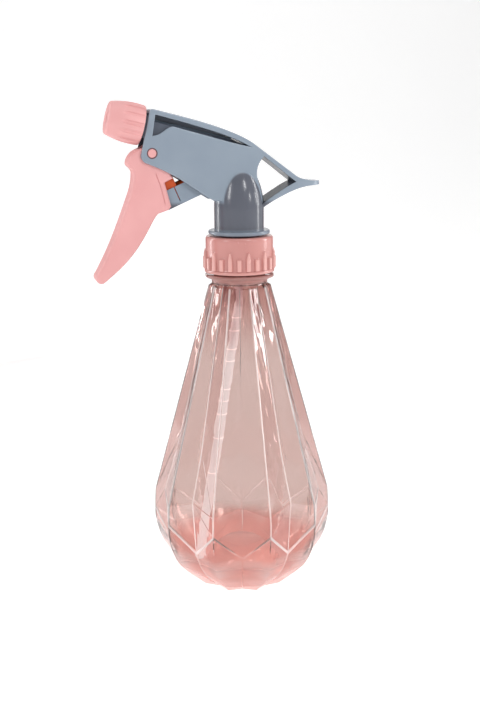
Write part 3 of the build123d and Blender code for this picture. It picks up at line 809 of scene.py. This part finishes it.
def nozzle_cap():
    last = CAP_LENGTH - CAP_ROUND
    rear = [(CAP_BORE_R + 0.3, 0.0), (CAP_REAR_R - 0.7, 0.0), (CAP_REAR_R - 0.2, 0.12), (cap_wall(0.6), 0.6)]
    side = [(cap_wall(s), s) for s in lerp_list(1.0, last, 34)]
    edge = quarter_round(cap_wall(last), last, CAP_ROUND, 8)
    face = [(2.6, CAP_LENGTH), (2.2, CAP_LENGTH - 0.2), (2.0, CAP_LENGTH - 0.9), (1.0, CAP_LENGTH - 1.15),
            (ORIFICE_R + 0.1, CAP_LENGTH - 1.2), (ORIFICE_R, CAP_LENGTH - 1.3), (ORIFICE_R, CAP_BORE_L)]
    bore = [(CAP_BORE_R, CAP_BORE_L), (CAP_BORE_R, 0.3)]
    obj = turned("nozzle_cap_fluted", rear + side + edge + face + bore, CAP_FLUTES * 26, PINK, "nozzle_cap",
                 place=axis_matrix(NOZZLE_FACE, NOZZLE_TILT, -1), relief=cap_relief,
                 replaces=["nozzle_cap"], smooth=50)


# ---------------------------------------------------------------- springs
PUMP_TILT = 23.0


def coil(name, node, tilt, sign, radius, wire, turns):
    """A round-wire compression spring that fills its CAD node, with its axis in the XZ plane.

    Returns the spring, its axis and its far end, in metres.
    """
    low, high = span(node)
    middle = (low + high) / 2
    t = math.radians(tilt)
    across = 2 * (radius + wire)
    length = (high.x - low.x - across * math.sin(t)) / math.cos(t)
    place = axis_matrix((middle.x, middle.z), tilt, sign)
    steps, sides = 20 * turns, 8
    rise = length - 2 * wire
    points = []
    for i in range(steps + 1):
        angle, height = 360 * turns * i / steps, rise * (i / steps - 0.5)
        for k in range(sides):
            a = 2 * math.pi * k / sides
            points.append(place @ polar(radius + wire * math.cos(a), angle, height + wire * math.sin(a)))
    faces = grid_faces(steps + 1, sides)
    faces += [tuple(reversed(range(sides))), tuple(range(steps * sides, (steps + 1) * sides))]
    obj = piece(name, points, faces, STEEL, "head", replaces=[node], smooth=60)
    axis = place.to_3x3() @ Vector((0, 0, 1))
    return obj, axis, (place.translation + axis * length / 2) * MM


def springs():
    """Both springs ride on the head."""
    spring, axis, far_end = coil("piston_spring_coil", "piston_spring", PUMP_TILT, 1, 1.6, 0.25, 8)
    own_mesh(spring)
    spring, axis, far_end = coil("valve_spring_coil", "outlet_valve_spring", NOZZLE_TILT, -1, 1.4, 0.2, 4)
    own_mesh(spring)


# ---------------------------------------------------------------- floor, light and camera, in metres
BACKDROP_GLOW = 0.27
FRONT_DEGREES = 255            # from +X to the camera's side of the object
MIDDLE = (0, 0, 0.14)          # the point that the lamps face
# name, degrees round from the camera, distance, height, width, length, watts
SOFTBOXES = (
    ("window_right", 100, 1.0, 0.42, 0.10, 0.80, 3.6),
    ("window_beside", 89, 1.0, 0.34, 0.05, 0.22, 0.8),
    ("window_front_right", 36, 1.1, 0.95, 0.16, 0.36, 3.8),
    ("window_blotch", 55, 1.0, 0.41, 0.06, 0.12, 0.8),
    ("window_front_left", -48, 1.1, 0.62, 0.14, 0.50, 3.4),
    ("rim_left", -112, 1.0, 0.40, 0.06, 0.90, 3.2),
)
FLAGS = (("flag_left", -147), ("flag_right", 147))


def around(degrees, distance, height):
    """A place at an angle from the camera's side of the object, positive to its right."""
    a = math.radians(FRONT_DEGREES + degrees)
    return (distance * math.cos(a), distance * math.sin(a), height)


def stage_piece(name, points, faces, material):
    """Part of the stage round the object. Its points are in metres."""
    mesh = bpy.data.meshes.new(name)
    mesh.from_pydata(points, [], faces)
    mesh.materials.append(material)
    obj = bpy.data.objects.new(name, mesh)
    bpy.context.scene.collection.objects.link(obj)
    return obj


def backdrop():
    """A pale floor that sweeps up into a wall behind the object."""
    half, front, back, bend, height = 3.0, -3.0, 1.6, 0.8, 2.8
    path = [(front, 0.0)]
    for a in (math.radians(degrees) for degrees in range(0, 91, 6)):
        path.append((back - bend + bend * math.sin(a), bend - bend * math.cos(a)))
    path.append((back, height))
    points = [(side * half, y, z) for y, z in path for side in (-1, 1)]
    g = Graph("pale_backdrop")
    g.set(Base_Color=g.mix(g.noise(8.0), (0.92, 0.92, 0.92, 1), (0.94, 0.94, 0.94, 1)), Roughness=0.9)
    g.set(Emission_Color=(1, 1, 1, 1), Emission_Strength=BACKDROP_GLOW)
    sweep = stage_piece("backdrop", points, grid_faces(len(path), 2, closed_columns=False), g.material)
    sweep.data.shade_smooth()


def flag(name, degrees):
    """A dark card behind the object, outside the picture, that gives the clear edges their dark outlines."""
    half_width, half_height, distance, height = 0.11, 0.30, 0.52, 0.22
    middle = Vector(around(degrees, distance, height))
    across = Vector((-middle.y, middle.x, 0)).normalized() * half_width
    up = Vector((0, 0, half_height))
    corners = [middle - across - up, middle + across - up, middle + across + up, middle - across + up]
    g = Graph(name)
    g.set(Base_Color=g.mix(g.noise(20.0), (0.14, 0.07, 0.065, 1), (0.16, 0.08, 0.075, 1)), Roughness=0.9)
    card = stage_piece(name, corners, [(0, 1, 2, 3)], g.material)
    card.visible_camera = False
    card.visible_shadow = False


def softbox(name, place, width, length, watts):
    light = bpy.data.lights.new(name, "AREA")
    light.shape = "RECTANGLE"
    light.size = width
    light.size_y = length
    light.energy = watts
    obj = bpy.data.objects.new(name, light)
    obj.location = place
    obj.rotation_euler = (Vector(MIDDLE) - Vector(place)).to_track_quat("-Z", "Y").to_euler()
    bpy.context.scene.collection.objects.link(obj)


def lighting():
    world = bpy.data.worlds.new("studio")
    world.use_nodes = True
    background = world.node_tree.nodes["Background"].inputs
    background["Color"].default_value = (1.0, 1.0, 1.0, 1)
    background["Strength"].default_value = 0.40
    bpy.context.scene.world = world
    for name, degrees, distance, height, *size_and_watts in SOFTBOXES:
        softbox(name, around(degrees, distance, height), *size_and_watts)
    softbox("overhead", (0.0, -0.1, 1.5), 1.1, 1.1, 5.0)
    for name, degrees in FLAGS:
        flag(name, degrees)


def camera():
    """Stands a little to the nozzle side, level with the head, and looks slightly down."""
    distance, height, azimuth = 0.500, 0.240, -15.0
    pitch, roll, aside = -13.95, 0.55, 0.02
    data = bpy.data.cameras.new("camera")
    data.sensor_width = 36.0
    data.lens = 51.0
    obj = bpy.data.objects.new("camera", data)
    a = math.radians(azimuth)
    obj.location = (distance * math.sin(a), -distance * math.cos(a), height)
    turn = Matrix.Rotation(math.radians(azimuth + aside), 4, "Z")
    turn = turn @ Matrix.Rotation(math.radians(90 + pitch), 4, "X")
    turn = turn @ Matrix.Rotation(math.radians(-roll), 4, "Z")
    obj.rotation_euler = turn.to_euler()
    bpy.context.scene.collection.objects.link(obj)
    bpy.context.scene.camera = obj


bpy.context.scene.view_settings.view_transform = "Standard"
camera()
lighting()
backdrop()
cad_materials()
bottle_body()
bottle_neck()
dip_tube()
tube_beads()
screw_collar()
nozzle_cap()
springs()
